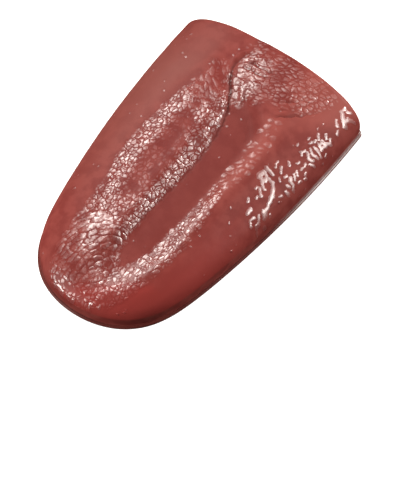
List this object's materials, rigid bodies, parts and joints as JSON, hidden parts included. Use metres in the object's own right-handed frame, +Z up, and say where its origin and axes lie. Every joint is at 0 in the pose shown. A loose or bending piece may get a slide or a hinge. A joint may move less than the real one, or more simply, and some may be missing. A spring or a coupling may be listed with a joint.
{
  "type": "prank fake tongue",
  "caption": "Soft rubber fake tongue with a wrinkled upper face, an off-centre groove, a flat underside and a pocket open at the root for the wearer's own tongue.",
  "frame": {"origin": "middle of the bounding box, on the flat underside that the tongue lies on", "axes": "+Y from the tip to the root along the length, +Z up from the underside to the wrinkled face, +X to the right seen from above with the root away"},
  "size_m": [0.0502, 0.0768, 0.0143],
  "materials": {
    "rubber": "soft glossy moulded rubber, dusky flesh red"
  },
  "bodies": {
    "root": {"tongue": "rubber"}
  },
  "joints": []
}
